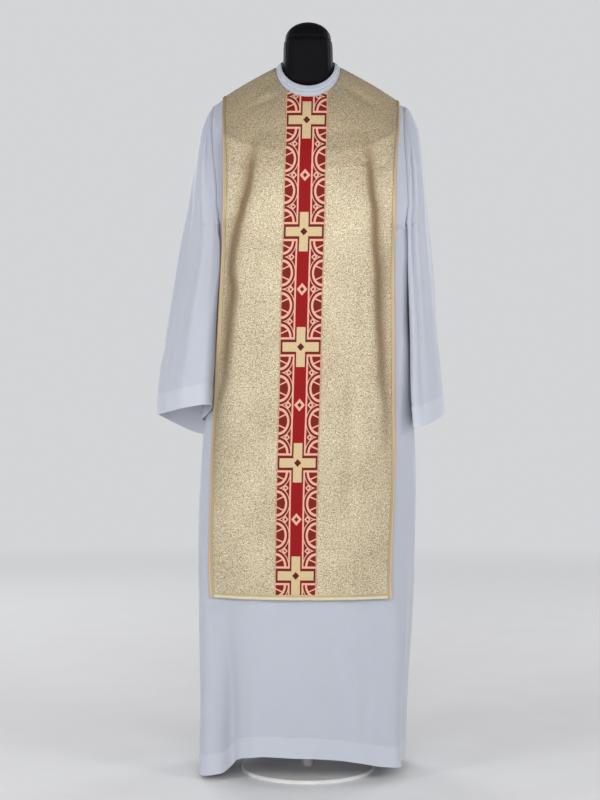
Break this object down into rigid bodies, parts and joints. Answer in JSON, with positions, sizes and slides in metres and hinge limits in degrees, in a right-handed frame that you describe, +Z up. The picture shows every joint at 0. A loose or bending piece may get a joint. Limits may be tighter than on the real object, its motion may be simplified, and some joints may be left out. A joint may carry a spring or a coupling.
{
  "type": "dalmatic outfit on a limbless dress form",
  "caption": "Pale sleeved robe under a gold brocade panel with an ornamented red and gold band, worn by a black limbless dress form on a pole and round base.",
  "frame": {"origin": "on the floor under the middle of the round base", "axes": "+Z up, +X to the viewer's right when facing the front, the front faces -Y"},
  "size_m": [0.6475, 0.3554, 1.679],
  "materials": {
    "robe_cloth": "matt pale bluish-white cloth",
    "gold_brocade": "gold metallic-thread brocade",
    "red_band": "red woven band with gold ornament",
    "gold_braid": "pinkish gold braid",
    "black_form": "black with a soft sheen",
    "white_steel": "white paint"
  },
  "bodies": {
    "root": {"robe_front": "robe_cloth", "robe_back": "robe_cloth", "robe_sleeve_left": "robe_cloth", "robe_sleeve_right": "robe_cloth", "robe_collar": "robe_cloth", "panel_front": "gold_brocade", "panel_back": "gold_brocade", "orphrey_front": "red_band", "edging_front_left": "gold_braid", "edging_front_right": "gold_braid", "edging_back_left": "gold_braid", "edging_back_right": "gold_braid", "hem_band_front": "gold_braid", "hem_band_back": "gold_braid", "form_torso": "black_form", "form_cap": "black_form", "stand_pole": "white_steel", "stand_base": "white_steel"}
  },
  "joints": []
}
